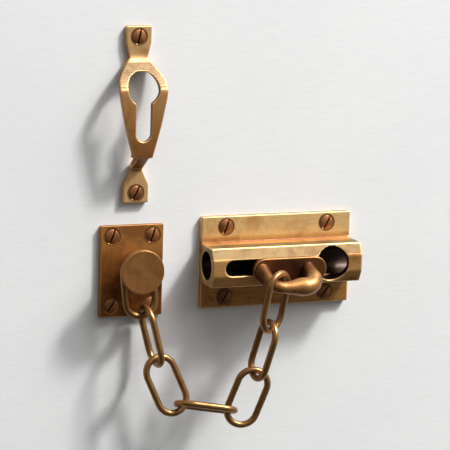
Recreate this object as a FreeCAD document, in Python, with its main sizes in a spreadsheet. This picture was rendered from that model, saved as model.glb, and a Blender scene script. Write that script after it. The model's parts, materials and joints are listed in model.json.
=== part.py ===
"""Door chain guard: keyed slide, headed bolt with its bow, seven-link chain, knob anchor and keeper.

Frame: millimetres, +Z up, +X towards the slide's entry hole, the door face is the plane Y = 0 and
everything that shows stands in front of it, at negative Y. The origin is the centre of the slide
plate's back face.
"""
import FreeCAD, Part
import math
import os

import Sketcher

V = FreeCAD.Vector
AXIS_X, AXIS_Y, AXIS_Z = V(1, 0, 0), V(0, 1, 0), V(0, 0, 1)
LAY_ALONG_X = FreeCAD.Rotation(AXIS_Y, 90)
LAY_ALONG_Y = FreeCAD.Rotation(AXIS_X, -90)
FACE_OUT = FreeCAD.Rotation(AXIS_X, 90)

SIZES = (
    ("slide_length", 76.0, "slide plate and barrel, along X"),
    ("slide_half", 22.0, "half height of the slide plate"),
    ("slide_thick", 3.0, "slide plate, off the door"),
    ("slide_screw_dx", 51.4, "screw spacing of the slide plate, along X"),
    ("slide_screw_dz", 33.8, "screw spacing of the slide plate, along Z"),
    ("barrel_half", 9.4, "half height of the barrel's flanks"),
    ("bevel_depth", 16.6, "door to the start of the barrel's bevels"),
    ("front_depth", 19.4, "door to the barrel's front facet"),
    ("front_half", 3.8, "half height of the front facet"),
    ("bore_radius", 6.8, "bore that the bolt's head runs in"),
    ("bore_depth", 9.6, "door to the bore's axis"),
    ("slot_half", 3.75, "half width of the slot for the bolt's neck"),
    ("slot_left", -31.5, "left end of the slot"),
    ("entry_at", 22.7, "centre of the entry hole"),
    ("entry_radius", 8.2, "entry hole"),
    ("anchor_at", -72.3, "anchor plate centre, along X"),
    ("anchor_up", -2.1, "anchor plate centre, along Z"),
    ("anchor_width", 30.8, "anchor plate, along X"),
    ("anchor_height", 43.4, "anchor plate, along Z"),
    ("plate_thick", 2.5, "anchor plate and keeper strip"),
    ("anchor_screw_dx", 19.8, "screw spacing of the anchor plate, along X"),
    ("anchor_screw_dz", 33.0, "screw spacing of the anchor plate, along Z"),
    ("knob_up", 0.3, "knob axis, along Z"),
    ("knob_radius", 10.4, "knob face"),
    ("knob_front", 19.1, "door to the knob's face"),
    ("knob_thick", 3.2, "knob head at its rim"),
    ("stud_neck", 3.5, "radius of the stud's neck, where the first link hangs"),
    ("keeper_at", -71.1, "keeper centre, along X"),
    ("keeper_mid", 71.1, "middle of the keeper's screws, along Z"),
    ("keeper_screw_dz", 73.0, "screw spacing of the keeper"),
    ("keeper_front", 12.0, "door to the keeper's front face"),
    ("keeper_gap", 9.5, "door to the keeper's inner face"),
    ("keeper_top", 112.7, "top of the upper foot"),
    ("keeper_shoulder", 105.0, "end of the upper foot's straight sides"),
    ("keeper_bend", 98.0, "outer bend from the upper foot"),
    ("keeper_bend_in", 96.6, "inner bend from the upper foot"),
    ("keeper_swell", 88.8, "upper end of the widest stretch"),
    ("keeper_flat", 84.35, "outer bend onto the front"),
    ("keeper_flat_in", 83.0, "inner bend onto the front"),
    ("keeper_full", 81.85, "lower end of the widest stretch"),
    ("keeper_side", 67.85, "level where the sides are keeper_mid_half wide"),
    ("keeper_low", 52.35, "lower edge of the front"),
    ("keeper_low_in", 54.6, "inner bend at the lower edge"),
    ("keeper_heel", 45.5, "outer bend onto the lower foot"),
    ("keeper_heel_in", 47.8, "inner bend onto the lower foot"),
    ("keeper_ankle", 38.5, "start of the lower foot's straight sides"),
    ("keeper_foot", 30.0, "bottom of the lower foot"),
    ("keeper_foot_half", 6.2, "half width of the feet"),
    ("keeper_waist", 4.5, "half width at the upper bend"),
    ("keeper_wide", 11.7, "half width of the widest stretch"),
    ("keeper_mid_half", 8.9, "half width at keeper_side"),
    ("keeper_taper", 4.7, "half width of the front's lower edge"),
    ("keeper_strap", 2.9, "half width of the strap back to the door"),
    ("keyhole_radius", 7.6, "round part of the keeper's keyhole"),
    ("keyhole_up", 84.55, "centre of the keyhole's round part"),
    ("keyway_half", 3.65, "half width of the keyhole's slot"),
    ("keyway_low", 60.15, "lower end of the keyhole's slot"),
    ("head_radius", 3.6, "screw head"),
    ("head_rise", 0.8, "domed rise of the screw head above its plate"),
    ("shank_radius", 1.95, "screw shank inside the plate"),
    ("thread_radius", 1.7, "screw thread behind the plate"),
    ("thread_length", 12.0, "straight part of the thread"),
    ("tip_length", 3.5, "tapered tip of the screw"),
    ("groove_width", 0.9, "slot across the screw head"),
    ("groove_depth", 1.1, "depth of that slot"),
    ("wire", 3.2, "diameter of the chain's wire"),
    ("link_length", 31.0, "outside length of a link"),
    ("link_width", 17.6, "outside width of a link"),
    ("bolt_at", -0.4, "bolt axis at rest, along X"),
    ("bolt_up", -1.15, "bolt axis, sunk onto the slot's lower edge"),
    ("bolt_neck", 2.5, "radius of the bolt's neck"),
    ("bolt_head", 5.5, "radius of the bolt's ball head"),
    ("head_half", 4.2, "half thickness of the flattened ball head"),
    ("flange_length", 37.0, "oblong flange against the barrel"),
    ("flange_half", 5.9, "half height of the flange"),
    ("flange_thick", 3.0, "flange"),
    ("flange_gap", 0.3, "flange to barrel"),
    ("bow_shift", -2.1, "bow centre from the bolt axis, along X"),
    ("bow_half", 11.2, "half spacing of the bow's legs"),
    ("bow_reach", 12.6, "flange face to the centre line of the bow's front bar"),
    ("bow_corner", 6.5, "corner radius of the bow's centre line"),
    ("bow_droop", 28.0, "droop of the bow below level, in degrees"),
    ("bow_root", 2.85, "radius of the bow's bar at its left, where the chain hangs"),
    ("bow_stout", 4.2, "radius of the bow's bar at its right end"),
    ("tail_depth", 2.2, "depth of the bolt's tail in the flange"),
)

# Each link at rest, from the anchor to the bow: tilt from straight down towards +X, slope off the
# door, and twist about its own length, in degrees.
LINK_LIE = (
    (6.5, 0.0, 0.0),
    (12.5, 9.0, 94.0),
    (22.5, 9.5, 6.5),
    (81.0, 8.0, 106.5),
    (161.0, 7.0, 8.5),
    (168.0, 11.0, 83.0),
    (171.0, 4.0, -33.5),
)
# Where each link's end bears round the bend of its neighbour, off the line of pull, in degrees.
BEARING_LEAN = (-24.0, -1.0, 8.0, 28.0, -3.0, -11.0)
# Gaps: between two links where they bear, between the first link and the stud's neck, round a
# screw's shank in its plate, and round a seated piece.
LINK_PLAY = 0.25
NECK_PLAY = 0.15
HOLE_PLAY = 0.1
SEAT_PLAY = 0.02
# Door to the first link's middle, half way between the anchor plate and the knob's back.
LINK_DEPTH = 10.6
# How far a cutting tool runs past the face that it cuts.
CUT_PAST = 1.0
# Radius of a screw's blunt point, as a share of its thread's.
TIP_SHARE = 0.15
# How deep the bow's legs are rooted in the flange, as a share of its thickness.
ROOT_SHARE = 0.6

SCREW_TURN = {
    "slide_screw_1": 22.0,
    "slide_screw_2": 32.0,
    "slide_screw_3": 30.0,
    "slide_screw_4": 38.0,
    "anchor_screw_1": 24.0,
    "anchor_screw_2": 21.0,
    "anchor_screw_3": 36.0,
    "anchor_screw_4": 15.0,
    "keeper_screw_top": 14.0,
    "keeper_screw_bottom": 28.0,
}

doc = FreeCAD.newDocument("DoorChainGuard")
sheet = doc.addObject("Spreadsheet::Sheet", "Sizes")
for row, (alias, value, note) in enumerate(SIZES, 1):
    sheet.set(f"A{row}", alias)
    sheet.set(f"B{row}", str(value))
    sheet.setAlias(f"B{row}", alias)
    sheet.set(f"C{row}", note)
doc.recompute()


def size(alias):
    """The value of one driving dimension."""
    return float(getattr(sheet, alias))


def solid(kind, name, place=None, **formulas):
    """A Part primitive whose properties follow formulas of the sheet, then set in its place."""
    item = doc.addObject("Part::" + kind, name)
    for prop, formula in formulas.items():
        item.setExpression(prop, formula)
    if place:
        item.Placement = place
    return item


def at(x, y, z, turn=None):
    return FreeCAD.Placement(V(x, y, z), turn or FreeCAD.Rotation())


def axes_place(spot, own_x, own_z):
    """The placement at spot whose own X and Z axes lie along two unit vectors at right angles."""
    own_y = own_z.cross(own_x)
    return FreeCAD.Placement(FreeCAD.Matrix(
        own_x.x, own_y.x, own_z.x, spot.x,
        own_x.y, own_y.y, own_z.y, spot.y,
        own_x.z, own_y.z, own_z.z, spot.z,
        0, 0, 0, 1,
    ))


def fuse(name, pieces):
    joined = doc.addObject("Part::MultiFuse", name)
    joined.Shapes = pieces
    joined.Refine = True
    return joined


def cut(name, base, tools):
    """Base less all the tools together."""
    result = doc.addObject("Part::Cut", name)
    result.Base = base
    result.Tool = tools[0] if len(tools) == 1 else fuse(name + "_tools", tools)
    result.Refine = True
    return result


def named(item, label):
    item.Label = label
    return item


def corner(name):
    """One coordinate of an outline, from an alias with or without a minus: its number and its formula."""
    alias = name.lstrip("-")
    sign = name[: len(name) - len(alias)]
    number = size(alias)
    return (-number if sign else number), f"{sign}Sizes.{alias}"


def outline_pad(name, plane, points, length):
    """A body with one padded outline whose corners are held by the sheet; None puts one on the axis."""
    body = doc.addObject("PartDesign::Body", name)
    sketch = body.newObject("Sketcher::SketchObject", name + "_outline")
    origin = next(f for f in body.Origin.OriginFeatures if f.Role == plane)
    sketch.AttachmentSupport = [(origin, "")]
    sketch.MapMode = "FlatFace"
    spots = [[corner(c) if c else (0.0, None) for c in point] for point in points]
    ends = [V(u[0], v[0], 0) for u, v in spots]
    for start, end in zip(ends, ends[1:] + ends[:1]):
        sketch.addGeometry(Part.LineSegment(start, end), False)
    for i, (u, v) in enumerate(spots):
        sketch.addConstraint(Sketcher.Constraint("Coincident", i, 2, (i + 1) % len(spots), 1))
        for kind, axis, (number, formula) in (("DistanceX", -2, u), ("DistanceY", -1, v)):
            if formula is None:
                sketch.addConstraint(Sketcher.Constraint("PointOnObject", i, 1, axis))
                continue
            held = sketch.addConstraint(Sketcher.Constraint(kind, -1, 1, i, 1, number))
            sketch.setExpression(f"Constraints[{held}]", formula)
    pad = body.newObject("PartDesign::Pad", name + "_pad")
    pad.Profile = sketch
    pad.setExpression("Length", length)
    doc.recompute()
    return body


def screw_spots(plate):
    """Centres of a plate's four screws on its front face, row by row from the top left."""
    x, z, thick = {
        "slide": (0.0, 0.0, size("slide_thick")),
        "anchor": (size("anchor_at"), size("anchor_up"), size("plate_thick")),
    }[plate]
    dx, dz = size(plate + "_screw_dx") / 2, size(plate + "_screw_dz") / 2
    return [V(x + i * dx, -thick, z + k * dz) for k in (1, -1) for i in (-1, 1)]


def keeper_spots():
    """Centres of the keeper's two screws on its front face, the upper one first."""
    half = size("keeper_screw_dz") / 2
    return [V(size("keeper_at"), -size("plate_thick"), size("keeper_mid") + k * half) for k in (1, -1)]


def screw_hole(name, spot):
    """Countersunk clearance hole for one screw, from the plate's front face at spot to its back."""
    here = at(spot.x, spot.y, spot.z, LAY_ALONG_Y)
    cone = solid("Cone", name + "_sink", here,
                 Radius1=f"Sizes.head_radius + {SEAT_PLAY}",
                 Radius2=f"Sizes.shank_radius + {SEAT_PLAY}",
                 Height="Sizes.head_radius - Sizes.shank_radius")
    drill = solid("Cylinder", name + "_drill", here,
                  Radius=f"Sizes.shank_radius + {HOLE_PLAY}", Height=str(CUT_PAST - spot.y))
    return fuse(name, [cone, drill])


def screw(label, spot):
    """Slotted raised countersunk wood screw: head in its plate at spot, thread behind the door face."""
    radius, rise = size("head_radius"), size("head_rise")
    dome_radius = (radius * radius + rise * rise) / (2 * rise)
    here = at(spot.x, spot.y, spot.z, LAY_ALONG_Y)
    dome = solid("Sphere", label + "_dome",
                 at(spot.x, spot.y + dome_radius - rise, spot.z, FACE_OUT), Radius=str(dome_radius))
    dome.Angle1 = math.degrees(math.asin(1 - rise / dome_radius))
    cone = solid("Cone", label + "_cone", here, Radius1="Sizes.head_radius",
                 Radius2="Sizes.shank_radius", Height="Sizes.head_radius - Sizes.shank_radius")
    sunk = radius - size("shank_radius")
    shank = solid("Cylinder", label + "_shank", at(spot.x, spot.y + sunk, spot.z, LAY_ALONG_Y),
                  Radius="Sizes.shank_radius", Height=str(-spot.y - sunk))
    thread = solid("Cylinder", label + "_thread", at(spot.x, 0, spot.z, LAY_ALONG_Y),
                   Radius="Sizes.thread_radius", Height="Sizes.thread_length")
    tip = solid("Cone", label + "_tip", at(spot.x, size("thread_length"), spot.z, LAY_ALONG_Y),
                Radius1="Sizes.thread_radius", Radius2=f"{TIP_SHARE} * Sizes.thread_radius",
                Height="Sizes.tip_length")
    groove = solid("Box", label + "_groove",
                   Length="Sizes.groove_width", Width=f"Sizes.groove_depth + {CUT_PAST}",
                   Height=f"2 * Sizes.head_radius + {2 * CUT_PAST}")
    lie = FreeCAD.Rotation(AXIS_Y, SCREW_TURN[label])
    corner_to_centre = V(-size("groove_width") / 2, -CUT_PAST, -radius - CUT_PAST)
    face = V(spot.x, spot.y - rise, spot.z)
    groove.Placement = FreeCAD.Placement(face + lie.multVec(corner_to_centre), lie)
    blank = fuse(label + "_blank", [dome, cone, shank, thread, tip])
    return named(cut(label + "_cut", blank, [groove]), label)


def slide():
    """Plate and keyed barrel in one casting: bored through, slotted, the entry hole at its right end."""
    blank = outline_pad("slide_blank", "YZ_Plane", (
        (None, "-slide_half"),
        ("-slide_thick", "-slide_half"),
        ("-slide_thick", "-barrel_half"),
        ("-bevel_depth", "-barrel_half"),
        ("-front_depth", "-front_half"),
        ("-front_depth", "front_half"),
        ("-bevel_depth", "barrel_half"),
        ("-slide_thick", "barrel_half"),
        ("-slide_thick", "slide_half"),
        (None, "slide_half"),
    ), "Sizes.slide_length")
    blank.setExpression("Placement.Base.x", "-Sizes.slide_length / 2")
    bore = solid("Cylinder", "slide_bore", at(-size("slide_length"), -size("bore_depth"), 0, LAY_ALONG_X),
                 Radius="Sizes.bore_radius", Height="2 * Sizes.slide_length")
    front = -size("front_depth") - CUT_PAST
    through = f"Sizes.front_depth + {CUT_PAST} - Sizes.bore_depth"
    slot_start = size("slot_left") + size("slot_half")
    slot_end = solid("Cylinder", "slot_end", at(slot_start, front, 0, LAY_ALONG_Y),
                     Radius="Sizes.slot_half", Height=through)
    slot_run = solid("Box", "slot_run", at(slot_start, front, -size("slot_half")),
                     Length="Sizes.entry_at - Sizes.slot_left - Sizes.slot_half",
                     Width=through, Height="2 * Sizes.slot_half")
    entry = solid("Cylinder", "entry_hole", at(size("entry_at"), front, 0, LAY_ALONG_Y),
                  Radius="Sizes.entry_radius", Height=through)
    holes = [screw_hole(f"slide_hole_{i}", spot) for i, spot in enumerate(screw_spots("slide"), 1)]
    return named(cut("slide_cut", blank, [bore, slot_end, slot_run, entry] + holes), "slide")


def anchor_plate():
    """Flat plate with four countersunk holes and the stud's hole in its middle."""
    blank = solid("Box", "anchor_blank",
                  at(size("anchor_at") - size("anchor_width") / 2, -size("plate_thick"),
                     size("anchor_up") - size("anchor_height") / 2),
                  Length="Sizes.anchor_width", Width="Sizes.plate_thick", Height="Sizes.anchor_height")
    stud_hole = solid("Cylinder", "stud_hole",
                      at(size("anchor_at"), -size("plate_thick") - CUT_PAST, size("knob_up"), LAY_ALONG_Y),
                      Radius=f"Sizes.stud_neck + {SEAT_PLAY}", Height=f"Sizes.plate_thick + {2 * CUT_PAST}")
    holes = [screw_hole(f"anchor_hole_{i}", spot) for i, spot in enumerate(screw_spots("anchor"), 1)]
    return named(cut("anchor_plate_cut", blank, [stud_hole] + holes), "anchor_plate")


def anchor_stud():
    """Turned stud: its tail riveted flush in the plate, a neck for the first link, a broad flat knob."""
    x, z = size("anchor_at"), size("knob_up")
    neck = solid("Cylinder", "stud_neck_rod", at(x, -size("knob_front") + CUT_PAST, z, LAY_ALONG_Y),
                 Radius="Sizes.stud_neck", Height=f"Sizes.knob_front - {CUT_PAST}")
    knob = solid("Cylinder", "knob_disc", at(x, -size("knob_front"), z, LAY_ALONG_Y),
                 Radius="Sizes.knob_radius", Height="Sizes.knob_thick")
    return named(fuse("anchor_stud_fuse", [neck, knob]), "anchor_stud")


def keeper():
    """Bent strip with a foot at each end: its front stands off the door and holds a keyhole."""
    profile = outline_pad("keeper_profile", "YZ_Plane", (
        (None, "keeper_top"),
        ("-plate_thick", "keeper_top"),
        ("-plate_thick", "keeper_bend"),
        ("-keeper_front", "keeper_flat"),
        ("-keeper_front", "keeper_low"),
        ("-plate_thick", "keeper_heel"),
        ("-plate_thick", "keeper_foot"),
        (None, "keeper_foot"),
        (None, "keeper_heel_in"),
        ("-keeper_gap", "keeper_low_in"),
        ("-keeper_gap", "keeper_flat_in"),
        (None, "keeper_bend_in"),
    ), "4 * Sizes.keeper_wide")
    profile.setExpression("Placement.Base.x", "-2 * Sizes.keeper_wide + Sizes.keeper_at")
    half_widths = (
        ("keeper_foot_half", "keeper_top"),
        ("keeper_foot_half", "keeper_shoulder"),
        ("keeper_waist", "keeper_bend"),
        ("keeper_wide", "keeper_swell"),
        ("keeper_wide", "keeper_full"),
        ("keeper_mid_half", "keeper_side"),
        ("keeper_taper", "keeper_low"),
        ("keeper_strap", "keeper_low"),
        ("keeper_strap", "keeper_heel"),
        ("keeper_foot_half", "keeper_ankle"),
        ("keeper_foot_half", "keeper_foot"),
    )
    mirrored = [("-" + half, level) for half, level in reversed(half_widths)]
    outline = outline_pad("keeper_front_view", "XZ_Plane", list(half_widths) + mirrored,
                          "2 * Sizes.keeper_front")
    outline.setExpression("Placement.Base.x", "Sizes.keeper_at")
    outline.setExpression("Placement.Base.y", "0.5 * Sizes.keeper_front")
    strip = doc.addObject("Part::MultiCommon", "keeper_strip")
    strip.Shapes = [profile, outline]
    x, front = size("keeper_at"), -size("keeper_front") - CUT_PAST
    through = f"Sizes.keeper_front + {CUT_PAST}"
    round_part = solid("Cylinder", "keyhole_round", at(x, front, size("keyhole_up"), LAY_ALONG_Y),
                       Radius="Sizes.keyhole_radius", Height=through)
    slot_end_up = size("keyway_low") + size("keyway_half")
    keyway_end = solid("Cylinder", "keyway_end", at(x, front, slot_end_up, LAY_ALONG_Y),
                       Radius="Sizes.keyway_half", Height=through)
    keyway = solid("Box", "keyway", at(x - size("keyway_half"), front, slot_end_up),
                   Length="2 * Sizes.keyway_half", Width=through,
                   Height="Sizes.keyhole_up - Sizes.keyway_low - Sizes.keyway_half")
    holes = [screw_hole(f"keeper_hole_{i}", spot) for i, spot in enumerate(keeper_spots(), 1)]
    return named(cut("keeper_cut", strip, [round_part, keyway_end, keyway] + holes), "keeper")


def axis_frame(tilt, slope, twist):
    """Unit vectors along a link's length and across its two legs."""
    tilt, slope, twist = (math.radians(angle) for angle in (tilt, slope, twist))
    along = V(math.sin(tilt) * math.cos(slope), -math.sin(slope), -math.cos(tilt) * math.cos(slope))
    level = along.cross(V(0, -1, 0)).normalize()
    outward = level.cross(along)
    return along, level * math.cos(twist) + outward * math.sin(twist)


def bearing(pull, legs, other, lean):
    """Direction, in the plane of the link with these axes, in which its neighbour bears on its bend."""
    flat = (pull * pull.dot(other) + legs * legs.dot(other)).normalize()
    mean = (pull + flat).normalize()
    lean = math.radians(lean)
    u, v = mean.dot(pull), mean.dot(legs)
    return pull * (math.cos(lean) * u - math.sin(lean) * v) + legs * (math.sin(lean) * u + math.cos(lean) * v)


def chain_lie():
    """Centre, length axis and leg axis of every link, and the point that each link turns about.

    The odd links lie across the door and the even ones stand out from it. An even link bears round
    the inside of an odd link's bend, so every turn is about the centre of such a bend.
    """
    bend = (size("link_width") - 2 * size("wire")) / 2
    half_straight = (size("link_length") - size("link_width")) / 2
    half_line = (size("link_length") - size("wire")) / 2
    bear = bend - size("wire") / 2 - LINK_PLAY
    frames = [axis_frame(*lie) for lie in LINK_LIE]
    neck = V(size("anchor_at"), -LINK_DEPTH, size("knob_up"))
    hang = bend - size("stud_neck") - NECK_PLAY + half_straight
    centres, pivots = [neck + frames[0][0] * hang], [neck]
    for i in range(1, len(frames)):
        (along_0, legs_0), (along, legs) = frames[i - 1], frames[i]
        if i % 2:
            pivot = centres[-1] + along_0 * half_straight
            reach = bearing(along_0, legs_0, along, BEARING_LEAN[i - 1])
            centres.append(pivot + reach * bear + along * half_line)
        else:
            reach = bearing(along, legs, along_0, BEARING_LEAN[i - 1])
            pivot = centres[-1] + along_0 * half_line + reach * bear
            centres.append(pivot + along * half_straight)
        pivots.append(pivot)
    return centres, frames, pivots


def link(number, centre, along, legs):
    """One welded oval link: two half rings joined by two straight legs."""
    label = f"chain_link_{number}"
    bend = (size("link_width") - size("wire")) / 2
    half_straight = (size("link_length") - size("link_width")) / 2
    pieces = []
    for end, turn in ((1, -90), (-1, 90)):
        place = at(end * half_straight, 0, 0, FreeCAD.Rotation(AXIS_Z, turn))
        ring = solid("Torus", f"{label}_bend_{len(pieces)}", place, Radius2="Sizes.wire / 2",
                     Radius1="(Sizes.link_width - Sizes.wire) / 2")
        ring.Angle3 = 180
        pieces.append(ring)
    for side in (1, -1):
        pieces.append(solid("Cylinder", f"{label}_leg_{len(pieces)}",
                            at(-half_straight, side * bend, 0, LAY_ALONG_X), Radius="Sizes.wire / 2",
                            Height="Sizes.link_length - Sizes.link_width"))
    whole = fuse(label + "_fuse", pieces)
    whole.Placement = axes_place(centre, along, along.cross(legs))
    return named(whole, label)


def bolt():
    """Headed bolt: a flattened ball head in the bore, a neck through the slot, its tail in the flange."""
    x, z = size("bolt_at"), size("bolt_up")
    ball = doc.addObject("Part::MultiCommon", "bolt_head_ball")
    ball.Shapes = [
        solid("Sphere", "bolt_ball", at(x, -size("bore_depth"), z), Radius="Sizes.bolt_head"),
        solid("Cylinder", "bolt_ball_flats",
              at(x, -size("bore_depth") - size("head_half"), z, LAY_ALONG_Y),
              Radius="Sizes.bolt_head", Height="2 * Sizes.head_half"),
    ]
    tail_end = size("front_depth") + size("flange_gap") + size("tail_depth")
    neck = solid("Cylinder", "bolt_neck_rod", at(x, -tail_end, z, LAY_ALONG_Y),
                 Radius="Sizes.bolt_neck", Height=str(tail_end - size("bore_depth")))
    return named(fuse("bolt_fuse", [ball, neck]), "slide_bolt")


def bow_bar(x, z, root_y):
    """The bow's bar: a drooping D, round in section, that grows stout towards its right end."""
    straight = size("bow_reach") - size("bow_corner")
    flat = size("bow_half") - size("bow_corner")
    embed = ROOT_SHARE * size("flange_thick")
    leg_height = f"Sizes.bow_reach - Sizes.bow_corner + {embed}"
    pieces = [
        solid("Cylinder", "bow_left_leg", at(-size("bow_half"), -embed, 0, LAY_ALONG_Y),
              Radius="Sizes.bow_root", Height=leg_height),
        solid("Cone", "bow_right_leg", at(size("bow_half"), -embed, 0, LAY_ALONG_Y),
              Radius1="Sizes.bow_root", Radius2="Sizes.bow_stout", Height=leg_height),
        solid("Cone", "bow_front", at(-flat, size("bow_reach"), 0, LAY_ALONG_X),
              Radius1="Sizes.bow_root", Radius2="Sizes.bow_stout",
              Height="2 * (Sizes.bow_half - Sizes.bow_corner)"),
    ]
    for side, turn, radius in ((-1, 90, "bow_root"), (1, 0, "bow_stout")):
        lie = FreeCAD.Rotation(AXIS_Z, turn)
        elbow = solid("Torus", radius + "_elbow", at(side * flat, straight, 0, lie),
                      Radius1="Sizes.bow_corner", Radius2=f"Sizes.{radius}")
        elbow.Angle3 = 90
        pieces.append(elbow)
    bar = fuse("bow_bar", pieces)
    droop = math.radians(size("bow_droop"))
    out = V(0, -math.cos(droop), -math.sin(droop))
    bar.Placement = axes_place(V(x, root_y, z), AXIS_X, AXIS_X.cross(out))
    return bar


def bow():
    """Oblong flange that rides on the barrel's front, with the bow that the chain hangs on."""
    x, z = size("bolt_at"), size("bolt_up")
    front = -size("front_depth") - size("flange_gap") - size("flange_thick")
    reach = size("flange_length") / 2 - size("flange_half")
    pieces = [solid("Box", "flange_middle", at(x - reach, front, z - size("flange_half")),
                    Length="Sizes.flange_length - 2 * Sizes.flange_half",
                    Width="Sizes.flange_thick", Height="2 * Sizes.flange_half")]
    for side in (-1, 1):
        pieces.append(solid("Cylinder", f"flange_end_{len(pieces)}",
                            at(x + side * reach, front, z, LAY_ALONG_Y),
                            Radius="Sizes.flange_half", Height="Sizes.flange_thick"))
    pieces.append(bow_bar(x + size("bow_shift"), z, front))
    tail_end = front + size("flange_thick") - size("tail_depth") - SEAT_PLAY
    tail_hole = solid("Cylinder", "bolt_tail_hole", at(x, tail_end, z, LAY_ALONG_Y),
                      Radius=f"Sizes.bolt_neck + {SEAT_PLAY}", Height=f"Sizes.tail_depth + {CUT_PAST}")
    return named(cut("bow_cut", fuse("bow_blank", pieces), [tail_hole]), "chain_bow")


def screws():
    """The ten screws, named by plate and numbered row by row from the top left."""
    made = []
    for plate in ("slide", "anchor"):
        for number, spot in enumerate(screw_spots(plate), 1):
            made.append(screw(f"{plate}_screw_{number}", spot))
    for end, spot in zip(("top", "bottom"), keeper_spots()):
        made.append(screw(f"keeper_screw_{end}", spot))
    return made


def build():
    """Every piece, in the order in which the guard comes off the door."""
    links = [link(i, centre, *frame) for i, (centre, frame) in enumerate(zip(*chain_lie()[:2]), 1)]
    return [slide(), anchor_plate(), anchor_stud(), keeper()] + screws() + links + [bolt(), bow()]


def check(pieces):
    """Stops if any object failed to compute, or if a piece is missing, broken or not one solid."""
    doc.recompute()
    for item in doc.Objects:
        if "Invalid" in item.State or "Error" in item.State:
            raise RuntimeError(f"{item.Label} failed: {item.State}")
    for piece in pieces:
        shape = piece.Shape
        if shape.isNull() or not shape.isValid() or len(shape.Solids) != 1:
            raise RuntimeError(f"{piece.Label} is not one valid solid")


def write(pieces):
    os.makedirs("parts", exist_ok=True)
    for piece in pieces:
        piece.Shape.exportStep(f"parts/{piece.Label}.step")
        box = piece.Shape.BoundBox
        print(f"{piece.Label:22s} volume {piece.Shape.Volume:9.1f}  x {box.XMin:7.2f} {box.XMax:7.2f}"
              f"  y {box.YMin:7.2f} {box.YMax:6.2f}  z {box.ZMin:7.2f} {box.ZMax:7.2f}")


PIECES = build()
check(PIECES)
write(PIECES)
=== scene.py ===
"""Looks of a door chain guard in aged brass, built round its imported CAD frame.

Every visible piece is a mesh of its own in place of its CAD node: castings and plates with softened
edges, threaded wood screws, bent wire links. The object's lengths are millimetres until they are
multiplied by MM. Those of the wall and the lights are metres.
"""

import json
import math

import bmesh
import bpy
import numpy as np
from mathutils import Matrix, Vector

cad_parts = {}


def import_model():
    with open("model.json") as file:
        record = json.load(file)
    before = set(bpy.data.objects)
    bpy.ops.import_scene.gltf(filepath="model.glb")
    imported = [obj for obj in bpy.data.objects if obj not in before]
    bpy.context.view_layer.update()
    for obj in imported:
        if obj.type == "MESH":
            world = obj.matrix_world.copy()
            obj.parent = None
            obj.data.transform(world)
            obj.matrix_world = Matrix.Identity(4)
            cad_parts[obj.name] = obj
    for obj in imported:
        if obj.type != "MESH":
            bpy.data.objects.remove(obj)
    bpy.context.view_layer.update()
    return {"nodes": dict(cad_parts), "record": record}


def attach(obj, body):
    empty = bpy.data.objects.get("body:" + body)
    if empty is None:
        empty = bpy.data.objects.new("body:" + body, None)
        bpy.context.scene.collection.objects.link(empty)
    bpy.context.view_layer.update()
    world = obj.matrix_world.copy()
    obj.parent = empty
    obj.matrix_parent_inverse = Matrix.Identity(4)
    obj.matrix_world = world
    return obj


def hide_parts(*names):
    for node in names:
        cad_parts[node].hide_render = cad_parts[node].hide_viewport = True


MM = 0.001
SHARP_TURN = 0.45   # change of the normal per millimetre that counts as a full edge or corner

# Camera: looks at TARGET from DISTANCE, AZIMUTH to the left of square on and ELEVATION above it.
TARGET = Vector((-25.202, 0.0, 17.151)) * MM
DISTANCE = 1279.517 * MM
AZIMUTH, ELEVATION, ROLL = math.radians(21.2989), math.radians(10.7693), math.radians(1.63396)
LENS, SENSOR = 216.57, 36.0

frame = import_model()
record = frame["record"]
body_of_node = {n: b for b, members in record["behaviour"]["bodies"].items() for n in members}


# ---------------------------------------------------------------- meshes

def points_of(mesh):
    """A mesh's vertices as rows of x, y and z."""
    co = np.empty(len(mesh.vertices) * 3, np.float32)
    mesh.vertices.foreach_get("co", co)
    return co.reshape(-1, 3)


def move_points(mesh, co):
    """Puts a mesh's vertices at rows of x, y and z."""
    mesh.vertices.foreach_set("co", co.ravel())
    mesh.update()


def store(mesh, name, values):
    """Keeps a number on each vertex, for a material to read by its name."""
    mesh.attributes.new(name, "FLOAT", "POINT").data.foreach_set("value", values.astype(np.float32))


def new_object(name, data):
    """A new object in the scene."""
    thing = bpy.data.objects.new(name, data)
    bpy.context.scene.collection.objects.link(thing)
    return thing


def worn_and_hollow(mesh, rounds=3):
    """Stores how far each vertex stands on an edge or lies in a corner, as two attributes from 0 to 1."""
    count = len(mesh.vertices)
    co = points_of(mesh)
    normal = np.empty(count * 3, np.float32)
    mesh.vertices.foreach_get("normal", normal)
    normal = normal.reshape(-1, 3)
    ends = np.empty(len(mesh.edges) * 2, np.int32)
    mesh.edges.foreach_get("vertices", ends)
    a, b = ends.reshape(-1, 2).T
    run = co[b] - co[a]
    square = np.maximum((run * run).sum(1), 1e-12)
    bend = np.zeros(count)
    valence = np.zeros(count)
    np.add.at(bend, a, (normal[a] * run).sum(1) / square)
    np.add.at(bend, b, -(normal[b] * run).sum(1) / square)
    np.add.at(valence, a, 1)
    np.add.at(valence, b, 1)
    valence = np.maximum(valence, 1)
    bend /= valence
    for _ in range(rounds):
        total = np.zeros(count)
        np.add.at(total, a, bend[b])
        np.add.at(total, b, bend[a])
        bend = 0.5 * bend + 0.5 * total / valence
    per_mm = bend * MM
    store(mesh, "worn", np.clip(-per_mm / SHARP_TURN, 0, 1))
    store(mesh, "hollow", np.clip(per_mm / SHARP_TURN, 0, 1))


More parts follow.
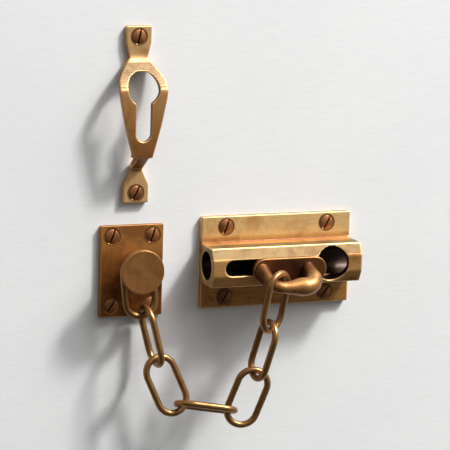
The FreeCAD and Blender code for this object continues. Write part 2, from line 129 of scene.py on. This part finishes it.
def place(name, mesh, material, nodes, film_and_shade=None):
    """Shows mesh as a piece that stands for CAD nodes of one body.

    The function given last puts the film and painted shade on each vertex: 0 is polished, 1 is black, and below
    0 a painted shade dims its highlight.
    """
    mesh.shade_smooth()
    worn_and_hollow(mesh)
    if film_and_shade:
        store(mesh, "film_and_shade", film_and_shade(*points_of(mesh).T / MM))
    mesh.materials.clear()
    mesh.materials.append(material)
    piece = new_object(name, mesh)
    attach(piece, body_of_node[nodes[0]])
    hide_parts(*nodes)


def softened(node, voxel, rounds, shape=None):
    """The CAD node's mesh with its edges rounded and its inner corners filled, as a casting has them.

    voxel is the size of the cells that the mesh is made anew from, rounds is how often it is then
    smoothed, and shape makes the last changes to it.
    """
    blank = new_object("blank", frame["nodes"][node].data.copy())
    bm = bmesh.new()
    bm.from_mesh(blank.data)
    bmesh.ops.remove_doubles(bm, verts=bm.verts, dist=1e-6)
    bm.to_mesh(blank.data)
    bm.free()
    remesh = blank.modifiers.new("remesh", "REMESH")
    remesh.mode = "VOXEL"
    remesh.voxel_size = voxel * MM
    smooth = blank.modifiers.new("smooth", "SMOOTH")
    smooth.factor = 0.5
    smooth.iterations = rounds
    bpy.context.view_layer.update()
    mesh = bpy.data.meshes.new_from_object(blank.evaluated_get(bpy.context.evaluated_depsgraph_get()))
    mesh.name = node + "_mesh"
    bpy.data.objects.remove(blank)
    if shape:
        shape(mesh)
    return mesh


def ring_mesh(name, spots, radii, sides):
    """A round bar along a closed run of spots; radii gives its radius at each."""
    bm = bmesh.new()
    count = len(spots)
    rings = []
    up = None
    for i, (spot, radius) in enumerate(zip(spots, radii)):
        along = (spots[(i + 1) % count] - spots[i - 1]).normalized()
        up = along.orthogonal().normalized() if up is None else (up - along * up.dot(along)).normalized()
        side = along.cross(up)
        turns = (2 * math.pi * k / sides for k in range(sides))
        rings.append([bm.verts.new(spot + (up * math.cos(t) + side * math.sin(t)) * radius) for t in turns])
    for ring, following in zip(rings, rings[1:] + rings[:1]):
        for k in range(sides):
            n = (k + 1) % sides
            bm.faces.new((ring[k], ring[n], following[n], following[k]))
    bmesh.ops.recalc_face_normals(bm, faces=bm.faces)
    mesh = bpy.data.meshes.new(name)
    bm.to_mesh(mesh)
    bm.free()
    return mesh


def cad_points(node):
    """The vertices of a CAD node."""
    return points_of(frame["nodes"][node].data).astype(float)


def main_axes(points):
    """Middle of a cloud of points, its axes, longest first, and half its extent along each."""
    middle = points.mean(0)
    for _ in range(3):
        _, _, rows = np.linalg.svd(points - middle, full_matrices=False)
        spread = (points - middle) @ rows.T
        middle = middle + ((spread.max(0) + spread.min(0)) / 2) @ rows
    return middle, rows, (spread.max(0) - spread.min(0)) / 2


# ---------------------------------------------------------------- materials

def node_tree(name):
    """A new material and its empty node tree."""
    material = bpy.data.materials.new(name)
    material.use_nodes = True
    tree = material.node_tree
    tree.nodes.clear()
    return material, tree


def add(tree, kind, **sets):
    """Adds a node and sets its properties."""
    node = tree.nodes.new(kind)
    for key, value in sets.items():
        setattr(node, key, value)
    return node


def noise_of(tree, coordinates, scale, detail, roughness, distortion=0.0):
    """Noise with scale cells to the metre."""
    noise = add(tree, "ShaderNodeTexNoise")
    noise.inputs["Scale"].default_value = scale
    noise.inputs["Detail"].default_value = detail
    noise.inputs["Roughness"].default_value = roughness
    noise.inputs["Distortion"].default_value = distortion
    tree.links.new(coordinates, noise.inputs["Vector"])
    return noise.outputs["Fac"]


def ranged(tree, value, low, high, to_low=0.0, to_high=1.0):
    """Carries value smoothly from low..high to to_low..to_high, and holds it at the ends."""
    node = add(tree, "ShaderNodeMapRange", interpolation_type="SMOOTHSTEP")
    for key, number in (("From Min", low), ("From Max", high), ("To Min", to_low), ("To Max", to_high)):
        node.inputs[key].default_value = number
    tree.links.new(value, node.inputs["Value"])
    return node.outputs["Result"]


def maths(tree, operation, first, second):
    """Joins two values or sockets by an operation."""
    node = add(tree, "ShaderNodeMath", operation=operation)
    for spot, value in enumerate((first, second)):
        if isinstance(value, (int, float)):
            node.inputs[spot].default_value = value
        else:
            tree.links.new(value, node.inputs[spot])
    return node.outputs[0]


def mixed(tree, share, first, second):
    """Mixes two colours; share is how much of the second."""
    node = add(tree, "ShaderNodeMix", data_type="RGBA")
    tree.links.new(share, node.inputs["Factor"])
    for socket, value in ((node.inputs["A"], first), (node.inputs["B"], second)):
        if isinstance(value, tuple):
            socket.default_value = (*value, 1.0)
        else:
            tree.links.new(value, socket)
    return node.outputs["Result"]


def stretched(tree, coordinates, scale):
    """Coordinates scaled along each axis."""
    mapping = add(tree, "ShaderNodeMapping")
    mapping.inputs["Scale"].default_value = scale
    tree.links.new(coordinates, mapping.inputs["Vector"])
    return mapping.outputs["Vector"]


def bumped(tree, height, strength, distance):
    """The normal of a surface with fine relief."""
    bump = add(tree, "ShaderNodeBump")
    bump.inputs["Strength"].default_value = strength
    bump.inputs["Distance"].default_value = distance
    tree.links.new(height, bump.inputs["Height"])
    return bump.outputs["Normal"]


def kept(tree, name):
    """The number that the vertices keep under a name."""
    return add(tree, "ShaderNodeAttribute", attribute_name=name).outputs["Fac"]


def surface(tree, shader, kind="ShaderNodeOutputMaterial"):
    """Ends a node tree in a shader."""
    tree.links.new(shader, add(tree, kind).inputs["Surface"])


HOLE_SHADE_COLOUR = (0.036, 0.018, 0.009)   # painted shade inside holes and seams, where the stored shade is black
DIMMING_SHADE = (0.072, 0.040, 0.014)   # painted shade that dims highlights on up-facing bevels and slopes
CLOUDS, MOTTLE, PITS = 75.0, 420.0, 1900.0   # cells to the metre of the patina's three sizes of mark


def patinated(tree, bright, deep, dark, toned_and_shaded, mottle, marks):
    """Bright metal, deep where it has toned, in its flecks and in its marks, and dark in its corners with
    tarnish and painted shade.
    """
    colour = mixed(tree, toned_and_shaded, bright, deep)
    colour = mixed(tree, ranged(tree, mottle, 0.5, 0.8, 0.0, 0.42), colour, deep)
    colour = mixed(tree, ranged(tree, marks, 0.45, 0.75, 0.0, 0.55), colour, deep)
    # tarnish and painted shade in the corners and hollows
    return mixed(tree, ranged(tree, kept(tree, "hollow"), 0.1, 0.75, 0.0, 0.85), colour, dark)


def filmed_and_shaded(tree, colour, dark):
    """The film and painted shade over a colour: from 0 to 1 it goes richer, dark and then black, and below 0 a
    painted shade dims its highlight.
    """
    depth = kept(tree, "film_and_shade")
    richer = add(tree, "ShaderNodeGamma")
    tree.links.new(colour, richer.inputs["Color"])
    tree.links.new(ranged(tree, depth, 0.0, 1.0, 1.0, 1.9), richer.inputs["Gamma"])
    colour = mixed(tree, maths(tree, "POWER", depth, 1.15), richer.outputs["Color"], dark)
    # painted shade inside holes and seams
    colour = mixed(tree, ranged(tree, depth, 0.85, 0.95), colour, HOLE_SHADE_COLOUR)
    # painted shade that dims the highlight
    return mixed(tree, ranged(tree, depth, -1.0, 0.0, 1.0, 0.0), colour, DIMMING_SHADE)


def brass(name, bright, deep, dark, rough, brushed, patina, grain=1.0, film=0.3):
    """Aged brass: bright where it is rubbed, deep where it has toned, dark in its corners with tarnish and
    painted shade, and darker still under the film and painted shade stored on its vertices.

    brushed gives the cells to the metre of the finishing marks along each axis; patina is how much of
    the surface has toned; grain is how rough it feels; film is how matt its oxide film makes it.
    """
    material, tree = node_tree(name)
    spot = add(tree, "ShaderNodeTexCoord").outputs["Object"]
    marks = noise_of(tree, stretched(tree, spot, brushed), 1.0, 4.0, 0.65)
    clouds = noise_of(tree, spot, CLOUDS, 4.0, 0.6, 0.4)
    mottle = noise_of(tree, spot, MOTTLE, 3.0, 0.6)
    pits = noise_of(tree, spot, PITS, 2.0, 0.6)
    toned_and_shaded = ranged(tree, clouds, 0.62 - 0.35 * patina, 0.86 - 0.35 * patina)
    rubbed = ranged(tree, kept(tree, "worn"), 0.12, 0.7, 0.0, 0.75)

    colour = filmed_and_shaded(tree, patinated(tree, bright, deep, dark, toned_and_shaded, mottle, marks), dark)
    colour = mixed(tree, rubbed, colour, bright)

    roughness = ranged(tree, mottle, 0.3, 0.75, rough - 0.05 * grain, rough + 0.09 * grain)
    roughness = maths(tree, "ADD", roughness, ranged(tree, marks, 0.3, 0.8, -0.03, 0.07))
    roughness = maths(tree, "ADD", roughness, ranged(tree, toned_and_shaded, 0.0, 1.0, 0.0, 0.05))
    roughness = maths(tree, "SUBTRACT", roughness, ranged(tree, rubbed, 0.0, 1.0, 0.0, 0.07))

    height = maths(tree, "ADD", maths(tree, "MULTIPLY", marks, 0.6), maths(tree, "MULTIPLY", pits, 0.35))
    height = maths(tree, "ADD", height, maths(tree, "MULTIPLY", mottle, 0.5))

    shader = add(tree, "ShaderNodeBsdfPrincipled")
    tree.links.new(colour, shader.inputs["Base Color"])
    tree.links.new(roughness, shader.inputs["Roughness"])
    tree.links.new(bumped(tree, height, 0.5 * grain, 0.06 * MM), shader.inputs["Normal"])
    shader.inputs["Metallic"].default_value = 1.0 - film
    shader.inputs["Specular IOR Level"].default_value = 0.15
    shader.inputs["Coat Weight"].default_value = 0.25
    shader.inputs["Coat Roughness"].default_value = 0.32
    surface(tree, shader.outputs["BSDF"])
    return material


ALONG_X, ALONG_Z, CAST = (90.0, 1500.0, 1500.0), (1500.0, 1500.0, 90.0), (500.0, 500.0, 500.0)
slide_brass = brass("slide_brass", bright=(0.88, 0.59, 0.255), deep=(0.54, 0.28, 0.10),
                    dark=(0.115, 0.018, 0.003), rough=0.44, brushed=ALONG_X, patina=0.42)
plate_brass = brass("plate_brass", bright=(0.55, 0.245, 0.067), deep=(0.28, 0.113, 0.027),
                    dark=(0.03, 0.010, 0.003), rough=0.42, brushed=ALONG_Z, patina=0.6)
knob_brass = brass("knob_brass", bright=(0.37, 0.165, 0.048), deep=(0.24, 0.10, 0.028),
                   dark=(0.04, 0.014, 0.004), rough=0.42, brushed=CAST, patina=0.6)
keeper_brass = brass("keeper_brass", bright=(0.71, 0.43, 0.185), deep=(0.48, 0.25, 0.09),
                     dark=(0.07, 0.024, 0.007), rough=0.46, brushed=ALONG_Z, patina=0.45)
screw_brass = brass("screw_brass", bright=(0.36, 0.145, 0.055), deep=(0.17, 0.06, 0.019),
                    dark=(0.02, 0.007, 0.004), rough=0.42, brushed=CAST, patina=0.6)
chain_brass = brass("chain_brass", bright=(0.35, 0.18, 0.062), deep=(0.18, 0.08, 0.026),
                    dark=(0.03, 0.011, 0.004), rough=0.34, brushed=CAST, patina=0.5, grain=0.1, film=0.15)
bow_brass = brass("bow_brass", bright=(0.40, 0.19, 0.06), deep=(0.18, 0.07, 0.02),
                  dark=(0.025, 0.008, 0.003), rough=0.43, brushed=CAST, patina=0.5, film=0.2)


# ---------------------------------------------------------------- pieces

def screw_axis(x, z):
    """Where a screw's axis stands, from its points."""
    return (x.max() + x.min()) / 2, (z.max() + z.min()) / 2


def screws_of(plate):
    """Where the axes of a plate's screws stand, as x and z."""
    names = [node for node in frame["nodes"] if node.startswith(plate + "_screw_")]
    return [screw_axis(*cad_points(node).T[[0, 2]] / MM) for node in names]


SEAM_RADIUS, SEAM_REACH = 3.75, 0.46   # of the painted shade in the seam round a screw's head


def round_screws(plate, x, z):
    """1 in the painted shade of the seam round each screw head of a plate, 0 away from it."""
    seam = np.zeros(len(x))
    for across, up in screws_of(plate):
        off = np.hypot(x - across, z - up) - SEAM_RADIUS
        seam = np.maximum(seam, np.exp(-(off / SEAM_REACH) ** 4))
    return seam


EDGE_SHADE = 0.72   # painted shade on the plates' upper edges, dimming the light they catch

# The slide's openings, each a little larger than it is in the CAD.
BORE_AT, BORE_REACH = -9.6, 7.15
SLOT_HALF, SLOT_LEFT, BARREL_FRONT = 4.0, -31.9, -19.1
ENTRY_AT, ENTRY_REACH = 22.7, 8.4
# Where the slide's other surfaces begin, a little clear of them, and the film and painted shade on each.
UPPER_PLATE_UP, UPPER_PLATE_FRONT = 11.0, -3.3
LOWER_PLATE_UP, LOWER_PLATE_FRONT = -9.0, -6.0
SLIDE_EDGE_UP, SLIDE_BACK = 21.7, -0.4
BEVEL_UP, BEVEL_BACK = 4.4, -9.0
# Painted shade in the holes, a painted shadow of the barrel on the lower plate and painted shade dimming the
# bevel's highlight; the barrel is darker than the upper plate.
HOLE_SHADE, BARREL_DARKENING, LOWER_PLATE_SHADOW, BACK_FILM, BEVEL_DIMMING = 0.95, 0.43, 0.16, 0.4, -0.76


def slide_inner(x, y, z):
    """Painted shade, black, in the bore, slot, entry hole and seams, on the plate's upper edge, and as the
    barrel's shadow on the lower plate. The barrel is darker than the upper plate, and painted shade dims its
    upper bevel's highlight.
    """
    bore = np.hypot(y - BORE_AT, z) < BORE_REACH
    in_front = (y > BARREL_FRONT) & (y < BORE_AT)
    slot = (np.abs(z) < SLOT_HALF) & (x > SLOT_LEFT) & (x < ENTRY_AT) & in_front
    entry = (np.hypot(x - ENTRY_AT, z) < ENTRY_REACH) & in_front
    hole = bore | slot | entry
    upper_plate = np.clip((z - UPPER_PLATE_UP) / 2.0, 0, 1) * (y > UPPER_PLATE_FRONT)
    # painted shadow of the barrel on the lower plate
    lower_plate = (z < LOWER_PLATE_UP) & (y > LOWER_PLATE_FRONT)
    tone_and_shade = BARREL_DARKENING * (1 - upper_plate) + LOWER_PLATE_SHADOW * lower_plate
    # painted shade on the plate's upper edge
    tone_and_shade = np.where(y > SLIDE_BACK, BACK_FILM, np.maximum(tone_and_shade, EDGE_SHADE * (z > SLIDE_EDGE_UP)))
    # painted shade in the holes and the seams round the screws
    tone_and_shade = np.maximum(np.maximum(HOLE_SHADE * hole, tone_and_shade), round_screws("slide", x, z))
    # painted shade dims the upper bevel's highlight
    return np.where((z > BEVEL_UP) & (y < BEVEL_BACK) & ~hole, BEVEL_DIMMING, tone_and_shade)


STUD_AT, STUD_SHADE = -72.3, 7.0


def anchor_inner(x, y, z):
    """Painted shade round the screws and under the knob; the plate is painted darker towards its lower edge and
    on its upper edge, as shade.
    """
    # painted shade, darker towards the lower edge
    lower = 0.5 * np.clip((14.0 - z) / 20.0, 0, 1)
    # painted shade under the knob
    under_knob = 0.6 * np.exp(-(np.hypot(x - STUD_AT, z) / STUD_SHADE) ** 4)
    # painted shade on the upper edge
    upper_edge = EDGE_SHADE * (z > z.max() - 0.3)
    return np.maximum(np.maximum(np.maximum(lower, under_knob), upper_edge), round_screws("anchor", x, z))


# The keeper's keyhole, the bend above which its front slopes back, and its upper edge.
KEEPER_AT, KEYHOLE_UP, KEYHOLE_REACH = -71.1, 84.55, 7.85
KEYWAY_REACH, KEYWAY_LOW = 3.9, 59.9
BEND_UP, KEEPER_FRONT, KEEPER_SLOPE = 84.35, -12.0, 0.7
KEEPER_EDGE_UP = 112.4
# painted shade on the keyhole's walls
KEYHOLE_SHADE = 0.84
# The painted shade on its strap, darker towards the bottom: least at STRAP_UP and above, and STRAP_GAIN more at
# STRAP_RUN below that.
STRAP_UP, STRAP_RUN, STRAP_LEAST, STRAP_GAIN, STRAP_MOST = 82.0, 34.0, 0.30, 0.42, 0.8
# How far painted shade dims the highlight on its slope: a fixed share from SLOPE_UP on, and SLOPE_GAIN more at
# SLOPE_RUN above SLOPE_HIGH.
SLOPE_UP, SLOPE_HIGH, SLOPE_RUN, SLOPE_DIMMING, SLOPE_GAIN = 84.2, 86.0, 5.0, 0.68, 0.16


def keeper_inner(x, y, z):
    """Painted shade: the strap darkens from its shoulder down, its slope's highlight is dimmed, and the
    keyhole's walls, upper edge and seams are dark.
    """
    strap = np.clip(STRAP_LEAST + STRAP_GAIN * (STRAP_UP - z) / STRAP_RUN, STRAP_LEAST, STRAP_MOST)
    raised = np.clip((-3.4 - y) / 1.5, 0, 1)
    # painted shade down the strap and on the upper edge
    toned_and_shaded = np.maximum(strap * raised, EDGE_SHADE * (z > KEEPER_EDGE_UP))
    toned_and_shaded = np.maximum(toned_and_shaded, round_screws("keeper", x, z))
    # painted shade that dims the slope's highlight
    slope = np.clip((z - SLOPE_UP) / 0.9, 0, 1) * np.clip((-2.9 - y) / 1.2, 0, 1)
    dull = SLOPE_DIMMING + SLOPE_GAIN * np.clip((z - SLOPE_HIGH) / SLOPE_RUN, 0, 1)
    keyway = (np.abs(x - KEEPER_AT) < KEYWAY_REACH) & (z > KEYWAY_LOW) & (z < KEYHOLE_UP)
    keyhole = keyway | (np.hypot(x - KEEPER_AT, z - KEYHOLE_UP) < KEYHOLE_REACH)
    front_here = KEEPER_FRONT + KEEPER_SLOPE * np.clip(z - BEND_UP, 0, None)
    return np.where(keyhole & (y > front_here + 0.4), KEYHOLE_SHADE, toned_and_shaded * (1 - slope) - dull * slope)


ROW = 0.5                            # height of the rows that the keeper's outline is measured in
SHOULDER_BLUR, BEND_BLUR = 2.4, 1.3


def eased(mesh):
    """Rounds the keeper's shoulders and upper bends as bending and filing leave them."""
    co = points_of(mesh)
    x, y, z = co.T / MM
    middle = (x.max() + x.min()) / 2
    row_of = ((z - z.min()) / ROW).astype(int)
    rows = row_of.max() + 1
    wide = np.zeros(rows)
    np.maximum.at(wide, row_of, np.abs(x - middle))
    front = np.zeros(rows)
    np.minimum.at(front, row_of, y)
    heights = z.min() + ROW * (np.arange(rows) + 0.5)

    def blurred(values, reach):
        reaches = np.exp(-((heights[:, None] - heights[None, :]) / reach) ** 2 / 2)
        return (reaches * values[None, :]).sum(1) / reaches.sum(1)

    upper = np.clip((heights - 60.0) / 6.0, 0, 1) * np.clip((101.0 - heights) / 4.0, 0, 1)
    narrower = np.minimum(blurred(wide, SHOULDER_BLUR) - wide, 0.0) * upper
    closer = (blurred(front, BEND_BLUR) - front) * upper
    rim = (np.abs(x - middle) / wide[row_of]) ** 4
    co[:, 0] += np.sign(x - middle) * np.interp(z, heights, narrower) * rim * MM
    co[:, 1] += np.interp(z, heights, closer) * MM
    move_points(mesh, co)


# The bow's flange, the place between its legs, its left leg and its front bar.
FLANGE_FRONT = -22.7
EYE_AT, EYE_UP, EYE_WIDE, EYE_HIGH = -2.0, -1.0, 8.5, 5.2
LEG_AT, LEG_ROOT_UP, LEG_LEAN, LEG_REACH, LEG_GROWTH = -13.7, -1.15, 0.53, 4.2, 0.62
BAR_DEPTH, BAR_UP, BAR_RADIUS, BAR_REACH, BAR_GROWTH = -33.83, -7.07, 4.15, 4.6, 0.10
BAR_END = 4.0   # a little into the bar's bend to the right leg


def bow_inner(x, y, z):
    """Toned on the flange and on its legs where they rise, and darkest inside the eye of the bow, where the
    darkening is painted shade.
    """
    eye = np.exp(-((x - EYE_AT) / EYE_WIDE) ** 4 - ((z - EYE_UP) / EYE_HIGH) ** 4)
    # the eye's extra darkness is painted shade
    flange = (0.5 + 0.33 * eye) * (y > FLANGE_FRONT - 0.5)
    return np.maximum(flange, 0.45 * np.clip((y + 32.0) / 4.0, 0, 1))


def screw_inner(x, y, z):
    """Painted shade at the rim of the screw's head."""
    across, up = screw_axis(x, z)
    return np.clip((np.hypot(x - across, z - up) - 3.0) / 0.5, 0, 0.85)


def swollen(mesh):
    """Broadens the bow's left leg into the flange and fills out its front bar, as the casting has them.

    The bar grows from its foremost line, so that it stays inside the CAD model's box.
    """
    co = points_of(mesh)
    x, y, z = co.T / MM
    off_x, off_z = x - LEG_AT, z - LEG_ROOT_UP + (FLANGE_FRONT - y) * LEG_LEAN
    on_leg = np.hypot(off_x, off_z) < LEG_REACH
    root = np.clip((y + 30.5) / 7.8, 0, 1) * np.clip((FLANGE_FRONT - 0.1 - y) / 0.8, 0, 1) * on_leg
    outer = np.clip(0.5 - off_x / 3.0, 0, 1)
    grow = LEG_GROWTH * root * outer
    co[:, 0] += off_x * grow * MM
    co[:, 2] += off_z * grow * MM
    off_y, off_z = y - BAR_DEPTH, z - BAR_UP
    on_bar = (np.hypot(off_y, off_z) < BAR_REACH) & (x < BAR_END)
    rise = np.clip((x + 4.5) / 4.5, 0, 1)
    fall = np.clip((BAR_END - x) / 3.0, 0, 1)
    grow = BAR_GROWTH * on_bar * rise * rise * (3 - 2 * rise) * fall
    co[:, 1] += (off_y + BAR_RADIUS) * grow * MM
    co[:, 2] += off_z * grow * MM
    move_points(mesh, co)


def threaded(mesh, pitch=1.5, depth=0.42, start=0.8):
    """Cuts a helical thread into a wood screw behind the door's face."""
    co = points_of(mesh)
    x, y, z = co.T / MM
    across, up = screw_axis(x, z)
    radius = np.hypot(x - across, z - up)
    turn = np.arctan2(z - up, x - across)
    wave = 0.5 - 0.5 * np.cos(2 * np.pi * y / pitch - turn)
    cut = depth * wave * np.clip((y - start) / 1.0, 0, 1) * np.clip(radius / 1.7, 0, 1)
    keep = 1 - cut / np.maximum(radius, 0.4)
    co[:, 0] = (across + (x - across) * keep) * MM
    co[:, 2] = (up + (z - up) * keep) * MM
    move_points(mesh, co)


place("slide_casting", softened("slide", voxel=0.36, rounds=12), slide_brass, ["slide"], slide_inner)
place("anchor_plate_sheet", softened("anchor_plate", voxel=0.25, rounds=6), plate_brass,
      ["anchor_plate"], anchor_inner)
place("anchor_knob", softened("anchor_stud", voxel=0.22, rounds=6), knob_brass, ["anchor_stud"])
place("keeper_strip", softened("keeper", voxel=0.25, rounds=26, shape=eased), keeper_brass,
      ["keeper"], keeper_inner)
place("bolt_headed", softened("slide_bolt", voxel=0.22, rounds=4), bow_brass, ["slide_bolt"])
place("bow_casting", softened("chain_bow", voxel=0.25, rounds=20, shape=swollen), bow_brass,
      ["chain_bow"], bow_inner)


WIRE_SIDES, BEND_STEPS, RUN_STEPS = 28, 24, 12


def link_mesh(node, phase):
    """One link of bent wire on the CAD link's own axes, its wire a little uneven as drawn wire is.

    phase shifts the unevenness from link to link.
    """
    middle, rows, half = main_axes(cad_points(node))
    along, across = Vector(rows[0]), Vector(rows[1])
    wire = half[2]
    bend = half[1] - wire
    straight = half[0] - half[1]
    path = []
    for end in (1, -1):
        for k in range(BEND_STEPS + 1):
            t = math.radians(180 * k / BEND_STEPS - 90 * end)
            path.append((end * straight + bend * math.cos(t), bend * math.sin(t)))
        for k in range(1, RUN_STEPS):
            path.append((end * straight * (1 - 2 * k / RUN_STEPS), end * bend))
    centre = Vector(middle)
    spots = [centre + along * u + across * v for u, v in path]
    turns = [2 * math.pi * k / len(path) for k in range(len(path))]
    waves = [0.007 * math.sin(3 * t + phase) + 0.005 * math.sin(7 * t + 2 * phase) for t in turns]
    radii = [wire * (0.988 + wave) for wave in waves]
    return ring_mesh(node + "_mesh", spots, radii, WIRE_SIDES)


links = sorted(node for node in frame["nodes"] if node.startswith("chain_link_"))
for number, node in enumerate(links, 1):
    place(f"wire_link_{number}", link_mesh(node, 1.7 * number), chain_brass, [node])

for node in sorted(frame["nodes"]):
    if "_screw_" in node:
        wood = softened(node, voxel=0.16, rounds=3, shape=threaded)
        place(node + "_wood", wood, screw_brass, [node], screw_inner)


# ---------------------------------------------------------------- stage, light and camera

WALL_HALF = 1.6               # metres
WALL_BEHIND = 0.05 * MM       # behind the plates' backs
GRAZING = 0.4 * MM            # shorter rays pass through the wall, so that backs that touch it are lit


def wall_paint():
    """Pale brushed paint, clear from behind and to grazing rays."""
    material, tree = node_tree("wall_paint")
    spot = add(tree, "ShaderNodeTexCoord").outputs["Object"]
    strokes = noise_of(tree, stretched(tree, spot, (90.0, 700.0, 700.0)), 1.0, 4.0, 0.65)
    broad = noise_of(tree, spot, 9.0, 2.0, 0.5)
    colour = mixed(tree, ranged(tree, broad, 0.3, 0.7), (0.74, 0.75, 0.75), (0.775, 0.78, 0.78))
    colour = mixed(tree, ranged(tree, strokes, 0.4, 0.75, 0.0, 0.35), colour, (0.66, 0.67, 0.67))
    paint = add(tree, "ShaderNodeBsdfPrincipled")
    paint.inputs["Roughness"].default_value = 0.7
    tree.links.new(colour, paint.inputs["Base Color"])
    tree.links.new(bumped(tree, strokes, 0.25, 0.1 * MM), paint.inputs["Normal"])
    behind = add(tree, "ShaderNodeNewGeometry").outputs["Backfacing"]
    touching = maths(tree, "LESS_THAN", add(tree, "ShaderNodeLightPath").outputs["Ray Length"], GRAZING)
    sided = add(tree, "ShaderNodeMixShader")
    tree.links.new(maths(tree, "MAXIMUM", behind, touching), sided.inputs[0])
    tree.links.new(paint.outputs["BSDF"], sided.inputs[1])
    tree.links.new(add(tree, "ShaderNodeBsdfTransparent").outputs["BSDF"], sided.inputs[2])
    surface(tree, sided.outputs["Shader"])
    return material


def wall():
    """The painted surface that the guard is screwed to."""
    bm = bmesh.new()
    upright = Matrix.Translation((0, WALL_BEHIND, 0)) @ Matrix.Rotation(math.radians(90), 4, "X")
    bmesh.ops.create_grid(bm, x_segments=1, y_segments=1, size=WALL_HALF, matrix=upright)
    mesh = bpy.data.meshes.new("wall")
    bm.to_mesh(mesh)
    bm.free()
    mesh.materials.append(wall_paint())
    new_object("wall", mesh)


def softbox(name, direction, distance, side, power, colour, aim):
    """A square area light that looks at aim from a direction."""
    data = bpy.data.lights.new(name, "AREA")
    data.shape = "SQUARE"
    data.size = side
    data.energy = power
    data.color = colour
    lamp = new_object(name, data)
    way = Vector(direction).normalized()
    lamp.location = Vector(aim) + way * distance
    lamp.rotation_euler = way.to_track_quat("Z", "Y").to_euler()


def world(level):
    """A studio round the scene, bright above and to the right, dim below."""
    sky = bpy.data.worlds.new("studio")
    bpy.context.scene.world = sky
    sky.use_nodes = True
    tree = sky.node_tree
    tree.nodes.clear()
    spot = add(tree, "ShaderNodeTexCoord").outputs["Generated"]
    parts = add(tree, "ShaderNodeSeparateXYZ")
    tree.links.new(spot, parts.inputs["Vector"])
    slant = maths(tree, "ADD", maths(tree, "MULTIPLY", parts.outputs["X"], 0.45),
                  maths(tree, "MULTIPLY", parts.outputs["Z"], 0.9))
    shade = mixed(tree, ranged(tree, slant, -0.5, 0.8), (0.22, 0.21, 0.2), (1.7, 1.7, 1.7))
    glow = add(tree, "ShaderNodeBackground")
    glow.inputs["Strength"].default_value = level
    tree.links.new(shade, glow.inputs["Color"])
    surface(tree, glow.outputs["Background"], "ShaderNodeOutputWorld")


def camera():
    """The photograph's camera."""
    back = Vector((-math.sin(AZIMUTH) * math.cos(ELEVATION), -math.cos(AZIMUTH) * math.cos(ELEVATION),
                   math.sin(ELEVATION)))
    right = Vector((math.cos(AZIMUTH), -math.sin(AZIMUTH), 0))
    up = back.cross(right)
    tilted = right * math.cos(ROLL) + up * math.sin(ROLL)
    data = bpy.data.cameras.new("camera")
    data.lens, data.sensor_width = LENS, SENSOR
    data.clip_start, data.clip_end = 0.05, 20.0
    eye = new_object("camera", data)
    eye.matrix_world = Matrix.Translation(TARGET + back * DISTANCE) @ Matrix(
        (tilted, back.cross(tilted), back)).transposed().to_4x4()
    bpy.context.scene.camera = eye


wall()
world(level=0.29)
LIGHT_FROM, LIGHT_DISTANCE = (0.509, -0.377, 0.773), 3.4
LIGHT_POWER, LIGHT_COLOUR = 133.0, (1.0, 0.995, 0.985)
for lamp_name, lamp_side in (("key", 0.42), ("window", 2.4)):
    softbox(lamp_name, LIGHT_FROM, LIGHT_DISTANCE, lamp_side, LIGHT_POWER, LIGHT_COLOUR, TARGET)
camera()
bpy.context.scene.view_settings.view_transform = "Standard"
